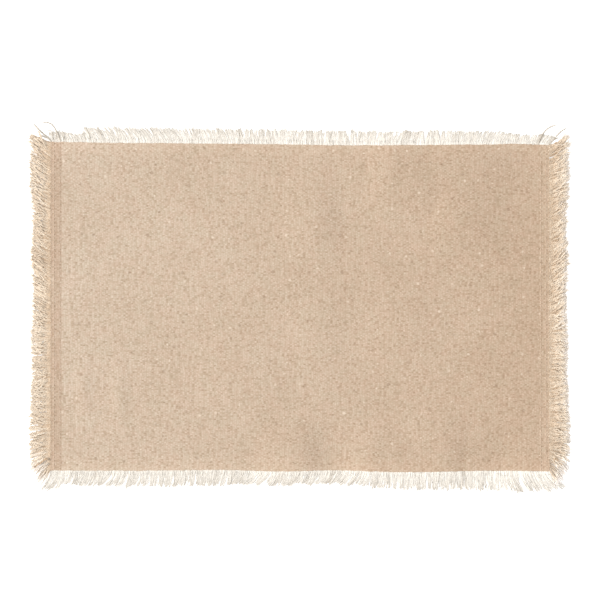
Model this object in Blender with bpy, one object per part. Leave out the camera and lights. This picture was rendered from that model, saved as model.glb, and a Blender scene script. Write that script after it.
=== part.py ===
"""A fringed table mat of thick woven cotton, lying flat.

The mat is one woven panel, with its hems woven in, and a fringe along each of its four
sides. The short sides carry thick plied yarns in full tufts, and the long sides carry thin
single threads. Every fringe is one narrow strip, which is the last of the weave, with its
locks growing out of it. The cloth lies on the table but for a few soft swells.

Metres, +Z up. The origin is the middle of the mat on the table, +X runs along the long
sides and +Y towards the back one.
"""

import math
import random
from collections import namedtuple

import bmesh
import bpy
from mathutils import Vector

MM = 0.001

# Driving dimensions
CLOTH_LENGTH = 417.0 * MM  # along X, without the fringes
CLOTH_THICKNESS = 1.8 * MM
CLOTH_COLUMNS = 36
CLOTH_ROWS = 24
PARTING = 0.3 * MM  # between the cloth and a fringe's strip
STRIP_WIDTH = 1.2 * MM
TOUCHING = 0.01 * MM  # points closer than this are at one place
LOCK_CROWN = 0.72  # a lock's top as a share of its foot's width

# The cloth's two long edges, measured from the middle: it was pulled a little out of square.
Outline = namedtuple("Outline", "along back front")
OUTLINE = (
    Outline(-208.5 * MM, 137.6 * MM, -137.0 * MM),
    Outline(-150.0 * MM, 136.7 * MM, -137.3 * MM),
    Outline(-70.0 * MM, 136.1 * MM, -136.6 * MM),
    Outline(-20.0 * MM, 135.6 * MM, -137.6 * MM),
    Outline(32.0 * MM, 134.8 * MM, -136.9 * MM),
    Outline(85.0 * MM, 134.6 * MM, -138.2 * MM),
    Outline(150.0 * MM, 135.1 * MM, -137.3 * MM),
    Outline(182.0 * MM, 136.0 * MM, -137.3 * MM),
    Outline(208.5 * MM, 135.0 * MM, -137.5 * MM),
)

# Where the cloth stands off the table: the crest, how far each flank runs out from it, and
# how high it rises. Two rows of swells leave a shallow trough from back to front between them.
Swell = namedtuple("Swell", "x y west east along rise")
SWELLS = (
    Swell(78 * MM, 122 * MM, 36 * MM, 42 * MM, 62 * MM, 1.2 * MM),
    Swell(14 * MM, 72 * MM, 34 * MM, 28 * MM, 68 * MM, 0.9 * MM),
    Swell(12 * MM, -30 * MM, 32 * MM, 30 * MM, 60 * MM, 0.5 * MM),
    Swell(82 * MM, -22 * MM, 34 * MM, 36 * MM, 64 * MM, 0.5 * MM),
    Swell(-2 * MM, -128 * MM, 36 * MM, 30 * MM, 52 * MM, 1.1 * MM),
    Swell(62 * MM, -128 * MM, 34 * MM, 30 * MM, 54 * MM, 1.1 * MM),
    Swell(126 * MM, -124 * MM, 34 * MM, 36 * MM, 48 * MM, 1.0 * MM),
    Swell(132 * MM, 80 * MM, 40 * MM, 60 * MM, 52 * MM, 1.1 * MM),
)

# How each fringe lies. Along is the place on its edge, lean is the angle from straight out,
# in degrees towards +X or +Y, and reach is how far the tips stand past the cloth.
Lie = namedtuple("Lie", "along lean reach")
SIDE_LIES = (
    Lie(-137 * MM, -50, 10.5 * MM),
    Lie(-130 * MM, -38, 16.0 * MM),
    Lie(-118 * MM, -20, 16.9 * MM),
    Lie(-100 * MM, -4, 17.0 * MM),
    Lie(-72 * MM, 7, 16.1 * MM),
    Lie(-60 * MM, -4, 14.9 * MM),
    Lie(-28 * MM, -3, 15.6 * MM),
    Lie(5 * MM, 24, 14.2 * MM),
    Lie(30 * MM, 32, 15.2 * MM),
    Lie(68 * MM, 18, 14.0 * MM),
    Lie(96 * MM, 30, 16.2 * MM),
    Lie(122 * MM, 36, 16.6 * MM),
    Lie(137 * MM, 34, 15.8 * MM),
)
BACK_LIES = (
    Lie(-208 * MM, -42, 10.5 * MM),
    Lie(-196 * MM, -22, 7.6 * MM),
    Lie(-184 * MM, -20, 7.2 * MM),
    Lie(-178 * MM, -26, 12.4 * MM),
    Lie(-137 * MM, -24, 12.6 * MM),
    Lie(-110 * MM, -30, 12.8 * MM),
    Lie(-84 * MM, -14, 12.6 * MM),
    Lie(0 * MM, 0, 12.2 * MM),
    Lie(66 * MM, 2, 12.0 * MM),
    Lie(88 * MM, 18, 12.2 * MM),
    Lie(115 * MM, 2, 12.2 * MM),
    Lie(140 * MM, 6, 11.8 * MM),
    Lie(158 * MM, 30, 11.4 * MM),
    Lie(186 * MM, 10, 8.8 * MM),
    Lie(208 * MM, 42, 10.0 * MM),
)
FRONT_LIES = (
    Lie(-208 * MM, -34, 15.0 * MM),
    Lie(-201 * MM, -22, 16.8 * MM),
    Lie(-194 * MM, -22, 11.8 * MM),
    Lie(-150 * MM, -24, 13.4 * MM),
    Lie(-122 * MM, -8, 13.8 * MM),
    Lie(-78 * MM, -4, 13.4 * MM),
    Lie(-32 * MM, -33, 11.4 * MM),
    Lie(0 * MM, -20, 11.4 * MM),
    Lie(40 * MM, -28, 12.2 * MM),
    Lie(82 * MM, 0, 14.6 * MM),
    Lie(160 * MM, 1, 16.2 * MM),
    Lie(184 * MM, 26, 16.8 * MM),
    Lie(208 * MM, 38, 15.6 * MM),
)

# Long threads that have worked loose at the back corners. Their headings are the way each
# stretch of the thread points, in the same degrees as the leans.
Loose = namedtuple("Loose", "along headings reach")
BACK_LOOSE = (
    Loose(-206.1 * MM, (-40, -45, -46), 15.2 * MM),
    Loose(-201.2 * MM, (-14, -34, -72), 17.0 * MM),
    Loose(198.8 * MM, (24, 42, 74), 16.0 * MM),
    Loose(206.1 * MM, (38, 44, 56), 14.6 * MM),
)

# What a fringe is made of: how many locks, the strip's height and a lock's, the share of the
# spacing that a root fills and each ring after it, the rings' heights as shares, how the lean
# sets in from ring to ring, and how unevenly the locks lie.
Yarn = namedtuple("Yarn", "locks strip height root widths heights bends wobble ragged")
THICK_YARN = Yarn(
    locks=62,
    strip=1.6 * MM,
    height=2.0 * MM,
    root=0.88,
    widths=(0.82, 0.72, 0.46),
    heights=(1.0, 0.95, 0.6),
    bends=(0.75, 1.05, 1.2),
    wobble=2.5,
    ragged=0.05,
)
THIN_THREAD = Yarn(
    locks=86,
    strip=1.4 * MM,
    height=1.2 * MM,
    root=0.44,
    widths=(0.44, 0.42, 0.28),
    heights=(1.0, 0.9, 0.7),
    bends=(0.4, 1.1, 1.5),
    wobble=3,
    ragged=0.05,
)
LOOSE_WIDTHS = (0.44, 0.34, 0.26)
LOOSE_HEIGHTS = (1.0, 0.8, 0.6)

# Each side: the direction its edge runs, the direction straight out of it, how the locks
# lie, and the seed of their unevenness.
Side = namedtuple("Side", "name run out yarn lies loose seed")
SIDES = (
    Side("left", Vector((0, 1, 0)), Vector((-1, 0, 0)), THICK_YARN, SIDE_LIES, (), 11),
    Side("right", Vector((0, 1, 0)), Vector((1, 0, 0)), THICK_YARN, SIDE_LIES, (), 11),
    Side("back", Vector((1, 0, 0)), Vector((0, 1, 0)), THIN_THREAD, BACK_LIES, BACK_LOOSE, 23),
    Side("front", Vector((1, 0, 0)), Vector((0, -1, 0)), THIN_THREAD, FRONT_LIES, (), 37),
)

CLOTH_COLOUR = (0.66, 0.50, 0.36, 1.0)
YARN_COLOUR = (0.75, 0.61, 0.46, 1.0)
THREAD_COLOUR = (0.88, 0.82, 0.70, 1.0)
COTTON_ROUGHNESS = 0.95


def clear_scene():
    for thing in list(bpy.data.objects):
        bpy.data.objects.remove(thing, do_unlink=True)


def at(rows, place):
    """A table's row at a place between two of its rows, eased so that nothing kinks."""
    place = min(max(place, rows[0].along), rows[-1].along)
    for low, high in zip(rows, rows[1:]):
        if place <= high.along:
            share = (place - low.along) / (high.along - low.along)
            eased = share * share * (3 - 2 * share)
            return low._make(a + (b - a) * eased for a, b in zip(low, high))
    return rows[-1]


def fade(distance):
    """A soft hump: 1 on the crest and 0 from a distance of 1."""
    return 0.5 + 0.5 * math.cos(math.pi * min(abs(distance), 1.0))


def rise(x, y):
    """How far the cloth's underside stands off the table."""
    height = 0.0
    for swell in SWELLS:
        flank = swell.east if x > swell.x else swell.west
        height = max(height, swell.rise * fade((x - swell.x) / flank) * fade((y - swell.y) / swell.along))
    return height


def cotton(name, colour):
    material = bpy.data.materials.new(name)
    material.use_nodes = True
    shader = material.node_tree.nodes["Principled BSDF"]
    shader.inputs["Base Color"].default_value = colour
    shader.inputs["Roughness"].default_value = COTTON_ROUGHNESS
    shader.inputs["Metallic"].default_value = 0.0
    return material


def finish(bm, name, material, parent):
    """Turns the bmesh into a named object under the mat's empty."""
    mesh = bpy.data.meshes.new(name)
    bm.to_mesh(mesh)
    bm.free()
    mesh.materials.append(material)
    piece = bpy.data.objects.new(name, mesh)
    piece.parent = parent
    bpy.context.scene.collection.objects.link(piece)
    return piece


def make_cloth(material, parent):
    """The woven panel: a grid drawn out to its edges, raised on the swells and thickened."""
    bm = bmesh.new()
    bmesh.ops.create_grid(bm, x_segments=CLOTH_COLUMNS, y_segments=CLOTH_ROWS, size=0.5)
    for point in bm.verts:
        x = point.co.x * CLOTH_LENGTH
        edge = at(OUTLINE, x)
        y = edge.front + (edge.back - edge.front) * (point.co.y + 0.5)
        point.co = (x, y, rise(x, y))
    panel = finish(bm, "cloth", material, parent)
    thickness = panel.modifiers.new("thickness", "SOLIDIFY")
    thickness.thickness = CLOTH_THICKNESS
    thickness.offset = 1.0
    return panel


def make_strip(bm, start, end, yarn):
    """The backing, a straight bar as long as the edge; returns the face at each lock's root."""
    spacing = (end - start) / yarn.locks
    columns = [start]
    for number in range(yarn.locks):
        middle = start + spacing * (number + 0.5)
        columns += [middle - spacing * yarn.root / 2, middle + spacing * yarn.root / 2]
    columns.append(end)
    bays = len(columns) - 1
    bmesh.ops.create_grid(bm, x_segments=bays, y_segments=1, size=0.5)
    for point in bm.verts:
        column = round((point.co.x + 0.5) * bays)
        point.co = (columns[column], PARTING + STRIP_WIDTH * (point.co.y + 0.5), 0.0)
    raised = bmesh.ops.extrude_face_region(bm, geom=bm.faces[:])
    for point in raised["geom"]:
        if isinstance(point, bmesh.types.BMVert):
            point.co.z = yarn.strip
    bmesh.ops.recalc_face_normals(bm, faces=bm.faces)
    outer = [face for face in bm.faces if face.normal.y > 0.5]
    outer.sort(key=lambda face: face.calc_center_median().x)
    return outer[1::2]  # every other face is the gap between two locks


def grow_lock(bm, root, headings, reach, widths, heights):
    """Draws one lock out of its root face, a ring for each heading, its foot on the table."""
    middle = root.calc_center_median()
    straight = sum(math.cos(math.radians(heading)) for heading in headings)
    stride = (reach - middle.y) / straight
    ring = root
    for heading, width, height in zip(headings, widths, heights):
        ring = bmesh.ops.extrude_discrete_faces(bm, faces=[ring])["faces"][0]
        before = ring.calc_center_median()
        turn = math.radians(heading)
        middle += stride * Vector((math.sin(turn), math.cos(turn), 0.0))
        across = Vector((math.cos(turn), -math.sin(turn), 0.0)) * width / 2
        for corner in ring.verts:
            offset = corner.co - before
            top = offset.z > 0
            half = across if offset.dot(across) > 0 else -across
            spot = middle + half * (LOCK_CROWN if top else 1.0)
            corner.co = (spot.x, spot.y, height if top else 0.0)


def lay_locks(bm, roots, side):
    """Gives every lock of a side its lean and reach, a little unevenly."""
    yarn = side.yarn
    chance = random.Random(side.seed)
    centres = [root.calc_center_median().x for root in roots]
    spacing = centres[1] - centres[0]
    loose_roots = {}
    for thread in side.loose:
        nearest = min(range(len(centres)), key=lambda i: abs(centres[i] - thread.along))
        loose_roots[nearest] = thread
    for number, root in enumerate(roots):
        lie = at(side.lies, centres[number])
        lean = lie.lean + chance.uniform(-yarn.wobble, yarn.wobble)
        reach = lie.reach * (1 + chance.uniform(-yarn.ragged, yarn.ragged))
        room = spacing * math.cos(math.radians(lean))
        headings = [lean * bend for bend in yarn.bends]
        widths = [share * room for share in yarn.widths]
        heights = [share * yarn.height for share in yarn.heights]
        if number in loose_roots:
            thread = loose_roots[number]
            headings = thread.headings
            reach = thread.reach
            widths = [share * room for share in LOOSE_WIDTHS]
            heights = [share * yarn.height for share in LOOSE_HEIGHTS]
        grow_lock(bm, root, headings, reach, widths, heights)


def seat(bm, side, edge_of):
    """Carries the straight fringe to its side: along the edge's line, its roots at the cloth's height."""
    for point in bm.verts:
        along, past, height = point.co
        edge = side.run * along + side.out * edge_of(along)
        in_strip = past < PARTING + STRIP_WIDTH + TOUCHING
        lifted = rise(edge.x, edge.y) if in_strip else 0.0
        point.co = edge + side.out * past + Vector((0, 0, height + lifted))
    if bm.calc_volume(signed=True) < 0:  # two of the sides are mirrored on the way
        bmesh.ops.reverse_faces(bm, faces=bm.faces)


def make_fringe(side, material, parent):
    """One side's fringe, as a strip and its locks in one closed body."""
    if side.name in ("left", "right"):
        corner = at(OUTLINE, side.out.x * CLOTH_LENGTH / 2)
        start, end = corner.front, corner.back

        def edge_of(along):
            return CLOTH_LENGTH / 2
    else:
        start, end = -CLOTH_LENGTH / 2, CLOTH_LENGTH / 2

        def edge_of(along):
            return abs(getattr(at(OUTLINE, along), side.name))

    bm = bmesh.new()
    lay_locks(bm, make_strip(bm, start, end, side.yarn), side)
    seat(bm, side, edge_of)
    return finish(bm, "fringe_" + side.name, material, parent)


def main():
    clear_scene()
    mat = bpy.data.objects.new("placemat", None)
    bpy.context.scene.collection.objects.link(mat)
    make_cloth(cotton("woven cotton", CLOTH_COLOUR), mat)
    plied_yarn = cotton("plied yarn", YARN_COLOUR)
    single_thread = cotton("single thread", THREAD_COLOUR)
    for side in SIDES:
        make_fringe(side, plied_yarn if side.yarn is THICK_YARN else single_thread, mat)


main()
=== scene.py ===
# %% [markdown]
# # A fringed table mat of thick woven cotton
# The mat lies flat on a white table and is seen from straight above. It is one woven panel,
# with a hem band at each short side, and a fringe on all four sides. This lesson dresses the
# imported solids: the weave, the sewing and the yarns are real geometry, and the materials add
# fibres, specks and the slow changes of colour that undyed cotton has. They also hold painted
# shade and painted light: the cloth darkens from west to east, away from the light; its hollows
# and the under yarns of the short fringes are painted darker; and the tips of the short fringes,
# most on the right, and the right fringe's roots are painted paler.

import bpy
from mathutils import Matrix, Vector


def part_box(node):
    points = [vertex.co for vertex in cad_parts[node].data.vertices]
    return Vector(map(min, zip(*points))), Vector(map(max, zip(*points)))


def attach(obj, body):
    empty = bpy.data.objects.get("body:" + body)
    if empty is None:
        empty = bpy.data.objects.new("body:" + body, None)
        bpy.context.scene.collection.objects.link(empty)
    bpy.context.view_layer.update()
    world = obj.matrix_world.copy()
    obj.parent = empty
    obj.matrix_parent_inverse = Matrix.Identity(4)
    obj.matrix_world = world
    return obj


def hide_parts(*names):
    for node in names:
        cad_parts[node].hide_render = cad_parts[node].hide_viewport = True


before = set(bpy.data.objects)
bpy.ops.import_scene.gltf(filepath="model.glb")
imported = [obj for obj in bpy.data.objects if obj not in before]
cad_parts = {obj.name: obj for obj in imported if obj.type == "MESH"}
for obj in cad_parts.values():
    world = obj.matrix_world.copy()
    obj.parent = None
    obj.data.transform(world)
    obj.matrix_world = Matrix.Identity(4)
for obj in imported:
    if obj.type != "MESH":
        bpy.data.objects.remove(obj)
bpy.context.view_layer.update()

# %% [markdown]
# Everything is worked out from a few real sizes. The cloth's length is read from its solid, and
# its thickness is the solid's. The short tables repeat how the cloth and its fringes lie: a row
# for each stretch, read between its rows with an easing, so that nothing kinks.

# %% Real sizes
import math
import random
from collections import namedtuple

import bmesh
import bpy
import numpy as np
from mathutils import Vector, noise

MM = 0.001
cloth_low, cloth_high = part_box("cloth")
CLOTH_LENGTH = cloth_high.x - cloth_low.x
CLOTH_WIDTH = 273.5 * MM
CLOTH_THICKNESS = 1.8 * MM
WARP_SPACING = 1.986 * MM
WEFT_SPACING = 1.302 * MM
HEM_WIDTH = 9.2 * MM
print(f"cloth {CLOTH_LENGTH / MM:.1f} x {CLOTH_WIDTH / MM:.1f} mm")

# %% Read a table between its rows


def ease(share):
    """Eases a share from 0 to 1, level at both ends."""
    return share * share * (3 - 2 * share)


def at(rows, place):
    """A table's row at a place between two of its rows."""
    place = min(max(place, rows[0].along), rows[-1].along)
    for low, high in zip(rows, rows[1:]):
        if place <= high.along:
            eased = ease((place - low.along) / (high.along - low.along))
            return low._make(a + (b - a) * eased for a, b in zip(low, high))
    return rows[-1]


# %% The long edges, which aren't quite straight
Outline = namedtuple("Outline", "along back front")
OUTLINE = (
    Outline(-208.5 * MM, 137.6 * MM, -137.0 * MM),
    Outline(-150.0 * MM, 136.7 * MM, -137.3 * MM),
    Outline(-70.0 * MM, 136.1 * MM, -136.6 * MM),
    Outline(-20.0 * MM, 135.6 * MM, -137.6 * MM),
    Outline(32.0 * MM, 134.8 * MM, -136.9 * MM),
    Outline(85.0 * MM, 134.6 * MM, -138.2 * MM),
    Outline(150.0 * MM, 135.1 * MM, -137.3 * MM),
    Outline(182.0 * MM, 136.0 * MM, -137.3 * MM),
    Outline(208.5 * MM, 135.0 * MM, -137.5 * MM),
)
midway = at(OUTLINE, 0.0)
print(f"{(midway.back - midway.front) / MM:.1f} mm wide at the middle")

# %% Soft swells, where the cloth stands off the table
SWELL_GAIN = 2.0  # the cloth stands a little higher than its plain solid
Swell = namedtuple("Swell", "x y west east along rise")
SWELLS = (
    Swell(80 * MM, 120 * MM, 38 * MM, 110 * MM, 74 * MM, 1.6 * MM),
    Swell(132 * MM, 124 * MM, 120 * MM, 64 * MM, 60 * MM, 1.6 * MM),
    Swell(132 * MM, 82 * MM, 40 * MM, 58 * MM, 56 * MM, 1.3 * MM),
    Swell(12 * MM, 74 * MM, 40 * MM, 30 * MM, 62 * MM, 0.9 * MM),
    Swell(14 * MM, -24 * MM, 44 * MM, 30 * MM, 66 * MM, 0.4 * MM),
    Swell(84 * MM, -16 * MM, 40 * MM, 46 * MM, 66 * MM, 0.5 * MM),
    Swell(-2 * MM, -132 * MM, 44 * MM, 28 * MM, 50 * MM, 1.4 * MM),
    Swell(66 * MM, -136 * MM, 40 * MM, 130 * MM, 54 * MM, 1.9 * MM),
    Swell(118 * MM, -132 * MM, 80 * MM, 36 * MM, 62 * MM, 1.7 * MM),
    Swell(204 * MM, -138 * MM, 50 * MM, 50 * MM, 52 * MM, 1.1 * MM),
    Swell(-50 * MM, -46 * MM, 50 * MM, 70 * MM, 60 * MM, 0.5 * MM),
    Swell(-181 * MM, -70 * MM, 10 * MM, 11 * MM, 44 * MM, 0.28 * MM),
    Swell(-151 * MM, -70 * MM, 10 * MM, 11 * MM, 44 * MM, 0.28 * MM),
)


def fade(distance):
    """A soft hump: 1 on the crest and 0 from a distance of 1."""
    return 0.5 + 0.5 * math.cos(math.pi * min(abs(distance), 1.0))


def rise(x, y):
    """How far the cloth's underside stands off the table."""
    height = 0.0
    for swell in SWELLS:
        flank = swell.east if x > swell.x else swell.west
        hump = fade((x - swell.x) / flank) * fade((y - swell.y) / swell.along)
        height = max(height, swell.rise * hump)
    return height * SWELL_GAIN


print(f"the first swell is {rise(SWELLS[0].x, SWELLS[0].y) / MM:.1f} mm high")

# %% [markdown]
# ## Shared effects for the materials
# Cotton shows the same two effects wherever it is used: fine fibres that run along the yarn,
# and the dark and pale specks of seed and lint left in undyed cotton. Each is a node group with
# named inputs and outputs, built once and placed in each material with its own values.

# %% A helper for placing nodes and links


def add(tree, kind, values=None, **settings):
    """Adds a node; values fills its inputs, and a value that is a socket is linked."""
    node = tree.nodes.new(kind)
    for name, value in settings.items():
        setattr(node, name, value)
    for key, value in (values or {}).items():
        if isinstance(value, bpy.types.NodeSocket):
            tree.links.new(value, node.inputs[key])
        else:
            node.inputs[key].default_value = value
    return node


def math_node(tree, operation, first, second=0.0, third=0.0, clamp=False):
    values = {0: first, 1: second, 2: third}
    return add(tree, "ShaderNodeMath", values, operation=operation, use_clamp=clamp).outputs[0]


def vector_node(tree, operation, first, second=(0, 0, 0), third=(0, 0, 0)):
    values = {0: first, 1: second, 2: third}
    return add(tree, "ShaderNodeVectorMath", values, operation=operation).outputs[0]


def new_group(name, inputs, outputs):
    """A node group; inputs are rows of (name, kind, value), and outputs of (name, kind)."""
    group = bpy.data.node_groups.new(name, "ShaderNodeTree")
    for label, kind, value in inputs:
        socket = group.interface.new_socket(label, in_out="INPUT", socket_type=kind)
        socket.default_value = value
    for label, kind in outputs:
        group.interface.new_socket(label, in_out="OUTPUT", socket_type=kind)
    given = group.nodes.new("NodeGroupInput").outputs
    made = group.nodes.new("NodeGroupOutput").inputs
    return group, given, made


# %% Fibres along a yarn
FLOAT, VECTOR = "NodeSocketFloat", "NodeSocketVector"
FIBRE_STRETCH = (0.25, 1.0, 1.0)  # a streak is about four times as long as it is wide


def fibre_group():
    """Soft streaks along the first axis: their shade is round 1, their height round 0."""
    group, given, made = new_group(
        "cotton fibres",
        (("Vector", VECTOR, (0, 0, 0)), ("Streaks", FLOAT, 6.0), ("Strength", FLOAT, 0.2)),
        (("Shade", FLOAT), ("Height", FLOAT)),
    )
    stretched = vector_node(group, "MULTIPLY", given["Vector"], FIBRE_STRETCH)
    values = {"Vector": stretched, "Scale": given["Streaks"], "Detail": 3.0, "Roughness": 0.6}
    fine = add(group, "ShaderNodeTexNoise", values)
    centred = math_node(group, "SUBTRACT", fine.outputs["Fac"], 0.5)
    strong = math_node(group, "MULTIPLY", centred, given["Strength"])
    group.links.new(math_node(group, "ADD", strong, 1.0), made["Shade"])
    group.links.new(centred, made["Height"])
    return group


FIBRES = fibre_group()
print("group:", FIBRES.name)

# %% Specks of seed and lint
SMALLEST_SPECK = 0.4  # added to the size that chance gives each speck
SPECK_EDGE = 2.5  # how firm a speck's edge is
FAINTEST_SPECK = 0.4


def speck_group():
    """Scattered spots: one cell in so many holds a spot, of a size and strength of its own."""
    group, given, made = new_group(
        "cotton specks",
        (("Vector", VECTOR, (0, 0, 0)), ("Size", FLOAT, 0.2), ("Share", FLOAT, 0.5)),
        (("Mask", FLOAT),),
    )
    values = {"Vector": given["Vector"], "Scale": 1.0, "Randomness": 1.0}
    cells = add(group, "ShaderNodeTexVoronoi", values, voronoi_dimensions="2D")
    drawn = add(group, "ShaderNodeSeparateColor", {0: cells.outputs["Color"]})
    chosen = math_node(group, "LESS_THAN", drawn.outputs["Red"], given["Share"])
    own_size = math_node(group, "ADD", drawn.outputs["Green"], SMALLEST_SPECK)
    radius = math_node(group, "MULTIPLY", given["Size"], own_size)
    away = math_node(group, "DIVIDE", cells.outputs["Distance"], radius)
    nearness = math_node(group, "SUBTRACT", 1.0, away)
    spot = math_node(group, "MULTIPLY", nearness, SPECK_EDGE, clamp=True)
    spot = math_node(group, "MULTIPLY", spot, chosen)
    strength = math_node(group, "MULTIPLY", drawn.outputs["Blue"], 1 - FAINTEST_SPECK)
    strength = math_node(group, "ADD", strength, FAINTEST_SPECK)
    group.links.new(math_node(group, "MULTIPLY", spot, strength, clamp=True), made["Mask"])
    return group


SPECKS = speck_group()
print("group:", SPECKS.name)

# %% [markdown]
# ## Cotton finishes
# Cotton is matt with a faint sheen from its loose fibres. The cloth's pattern follows its own UV
# map, which counts yarns: one unit across is one warp, and one unit up is one weft. So the
# painted floats lie exactly on the raised ones.

# %% A plain matt cotton shader, which each finish builds on
COTTON_GLOSS = 0.15
SHEEN_ROUGHNESS = 0.6


def new_cotton(name, roughness, sheen):
    material = bpy.data.materials.new(name)
    material.use_nodes = True
    shader = material.node_tree.nodes["Principled BSDF"]
    shader.inputs["Roughness"].default_value = roughness
    shader.inputs["Metallic"].default_value = 0.0
    shader.inputs["Specular IOR Level"].default_value = COTTON_GLOSS
    shader.inputs["Sheen Weight"].default_value = sheen
    shader.inputs["Sheen Roughness"].default_value = SHEEN_ROUGHNESS
    return material, material.node_tree, shader


# %% Helpers for colours, brightness and bumps


def mix(tree, share, first, second):
    """Blends two colours by a share; each may be a socket or a value."""
    values = {0: share, 6: first, 7: second}
    return add(tree, "ShaderNodeMix", values, data_type="RGBA", clamp_factor=True).outputs[2]


def shade(tree, colour, amount):
    """Multiplies a colour by a brightness or a tint."""
    return vector_node(tree, "MULTIPLY", colour, amount)


def spread(tree, value, low, high, start=0.0, end=1.0):
    """Stretches a value that runs from start to end over low to high."""
    values = {0: value, 1: start, 2: end, 3: low, 4: high}
    return add(tree, "ShaderNodeMapRange", values).outputs[0]


def swing(tree, value, amount, start=0.0, end=1.0):
    """A brightness that swings round 1 by an amount."""
    return spread(tree, value, 1 - amount, 1 + amount, start, end)


def clouds(tree, vector, scale, detail, roughness=0.6):
    """Soft patches, from 0 to 1."""
    values = {"Vector": vector, "Scale": scale, "Detail": detail, "Roughness": roughness}
    return add(tree, "ShaderNodeTexNoise", values).outputs["Fac"]


def bump(tree, height, strength, depth, under=None):
    """The normal of a bump map, on top of another one where there is one."""
    values = {"Strength": strength, "Distance": depth, "Height": height}
    if under is not None:
        values["Normal"] = under
    return add(tree, "ShaderNodeBump", values).outputs[0]


# %% The weave, painted as it is raised
OVAL = 0.45  # below 1, a float is a full oval and not a point
WARP_SHADE = 0.70  # a warp on top is painted this much of a weft's height
FEW_DARK = 2.5  # above 1, few crossings are dark
CROSSING_TONES = (0.10, -0.36)


def crossings(tree, uv):
    """The weave's height, and a brightness that each crossing has of its own."""
    counts = add(tree, "ShaderNodeSeparateXYZ", {0: uv}).outputs
    across = math_node(tree, "COSINE", math_node(tree, "MULTIPLY", counts["X"], math.pi))
    upward = math_node(tree, "COSINE", math_node(tree, "MULTIPLY", counts["Y"], math.pi))
    over = math_node(tree, "MULTIPLY", across, upward)
    weft_over = math_node(tree, "ADD", over, 0.0, clamp=True)
    warp_over = math_node(tree, "MULTIPLY", over, -1.0, clamp=True)
    floats = math_node(tree, "POWER", weft_over, OVAL)
    dips = math_node(tree, "MULTIPLY", math_node(tree, "POWER", warp_over, OVAL), WARP_SHADE)
    height = math_node(tree, "ADD", floats, dips)

    crossing = vector_node(tree, "FLOOR", vector_node(tree, "ADD", uv, (0.5, 0.5, 0)))
    drawn = add(tree, "ShaderNodeTexWhiteNoise", {"Vector": crossing}, noise_dimensions="2D")
    darker = math_node(tree, "POWER", drawn.outputs["Value"], FEW_DARK)
    own_tone = math_node(tree, "MULTIPLY", spread(tree, darker, *CROSSING_TONES), height)
    return height, math_node(tree, "ADD", own_tone, 1.0)


# %% The colour of the cloth and its hems
# The cloth is painted darker from west to east: painted shade of the light falling off away from
# the left.
CLOTH_LIT_WEST = (0.495, 0.395, 0.302, 1)
CLOTH_SHADED_EAST = (0.438, 0.326, 0.233, 1)
HEM_TINT_WEST = (0.93, 0.88, 0.85, 1)
HEM_TINT_EAST = (1.03, 1.035, 1.035, 1)
HEM_INNER_SHADE = 0.955
HEM_OUTER_EDGE = 2 * MM
PLAIN = (1, 1, 1, 1)
RIM_SHADE = 1.07  # the cloth is paler along the long edges
RIM_WIDTH = 14 * MM
ROSY = (1.016, 0.990, 0.992, 1)
SANDY = (0.986, 1.008, 1.006, 1)
HUE_RANGE = (0.75, 1.25)


def cloth_colour(tree, place):
    """Darker from west to east, painted shade away from the light on the left; tinted in the hem
    bands, and paler again along the long edges.
    """
    sides = add(tree, "ShaderNodeSeparateXYZ", {0: place}).outputs
    eastward = spread(tree, sides["X"], 0.0, 1.0, -CLOTH_LENGTH / 2, CLOTH_LENGTH / 2)
    colour = mix(tree, eastward, CLOTH_LIT_WEST, CLOTH_SHADED_EAST)
    edge = math_node(tree, "SUBTRACT", CLOTH_LENGTH / 2, math_node(tree, "ABSOLUTE", sides["X"]))
    in_hem = math_node(tree, "LESS_THAN", edge, HEM_WIDTH)
    hem_shade = spread(tree, edge, 1.0, HEM_INNER_SHADE, HEM_OUTER_EDGE, HEM_WIDTH)
    hem_tint = shade(tree, mix(tree, eastward, HEM_TINT_WEST, HEM_TINT_EAST), hem_shade)
    colour = shade(tree, colour, mix(tree, in_hem, PLAIN, hem_tint))
    inset = math_node(tree, "SUBTRACT", CLOTH_WIDTH / 2, math_node(tree, "ABSOLUTE", sides["Y"]))
    colour = shade(tree, colour, spread(tree, inset, RIM_SHADE, 1.0, 0.0, RIM_WIDTH))
    hue = math_node(tree, "ADD", clouds(tree, place, 70.0, 2.0), clouds(tree, place, 330.0, 1.0))
    return shade(tree, colour, mix(tree, spread(tree, hue, 0.0, 1.0, *HUE_RANGE), ROSY, SANDY))


# %% Its brightness, from broad patches down to single fibres: its own tone, with painted shade in the hollows
# GAP_SHADE darkens the low places between the floats: painted shade in the hollows of the weave.
GAP_SHADE = 0.84
PATCH_SWING = 0.035
FLECK_SWING = 0.15
STREAK_SWING = 0.10
STREAK_STRETCH = (0.8, 0.05, 1)
COLUMN_SWING = 0.05  # every second warp shows a little, in columns that slip from row to row
COLUMN_STRETCH = (0.05, 0.6, 1)
COLUMN_SLIP = 6 * math.pi


def cloth_tone_and_shade(tree, uv, place, height, own_tone):
    counts = add(tree, "ShaderNodeSeparateXYZ", {0: uv}).outputs
    slip = clouds(tree, vector_node(tree, "MULTIPLY", uv, COLUMN_STRETCH), 1.0, 1.0)
    slip = math_node(tree, "MULTIPLY", slip, COLUMN_SLIP)
    column = math_node(tree, "SINE", math_node(tree, "MULTIPLY_ADD", counts["X"], math.pi, slip))
    streaks = clouds(tree, vector_node(tree, "MULTIPLY", uv, STREAK_STRETCH), 1.0, 1.0)
    light = swing(tree, clouds(tree, place, 12.0, 1.0), PATCH_SWING, 0.3, 0.7)
    for factor in (
        spread(tree, height, GAP_SHADE, 1.0),
        own_tone,
        swing(tree, clouds(tree, place, 720.0, 3.0), FLECK_SWING),
        swing(tree, streaks, STREAK_SWING),
        swing(tree, column, COLUMN_SWING, -1.0, 1.0),
    ):
        light = math_node(tree, "MULTIPLY", light, factor)
    return light


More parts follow.
